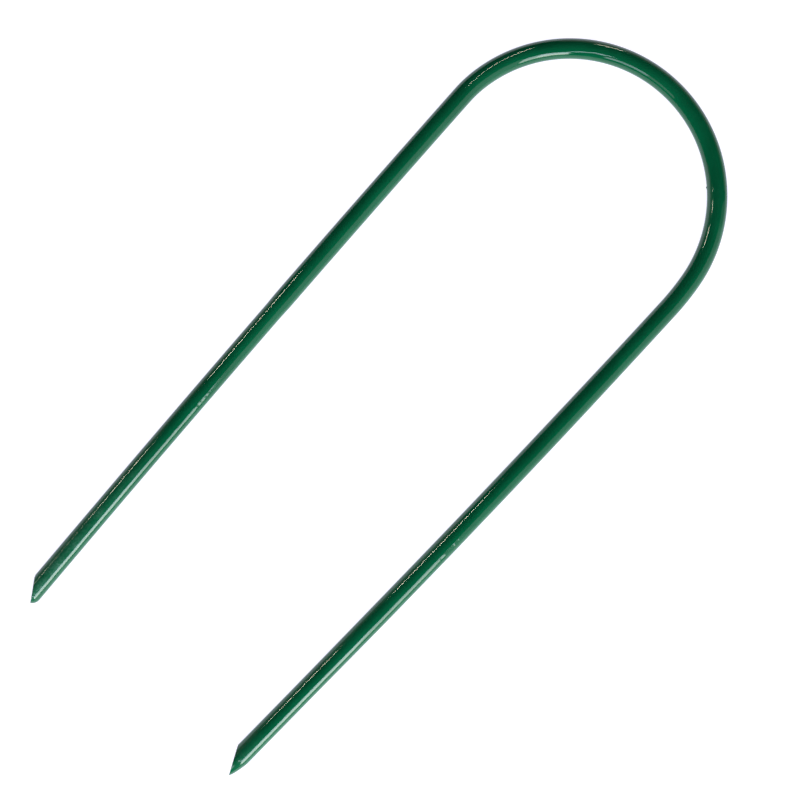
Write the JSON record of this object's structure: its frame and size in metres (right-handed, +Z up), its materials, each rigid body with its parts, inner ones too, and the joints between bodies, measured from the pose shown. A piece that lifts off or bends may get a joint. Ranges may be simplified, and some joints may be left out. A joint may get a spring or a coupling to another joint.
{
  "type": "tent stake",
  "caption": "U-shaped ground stake: a round steel bar bent into a U inside a glossy green polymer coat, with each leg sheared to a point.",
  "frame": {"origin": "centre of the stake's footprint, on the surface it lies on", "axes": "+Y runs up the legs towards the crown, +X from the left leg to the right leg, +Z up out of the surface it lies on"},
  "size_m": [0.155, 0.4028, 0.01],
  "materials": {
    "steel": "bare sheared steel",
    "green_coat": "deep green gloss polymer coat"
  },
  "bodies": {
    "root": {"steel_rod": "steel", "green_coat": "green_coat"}
  },
  "joints": []
}
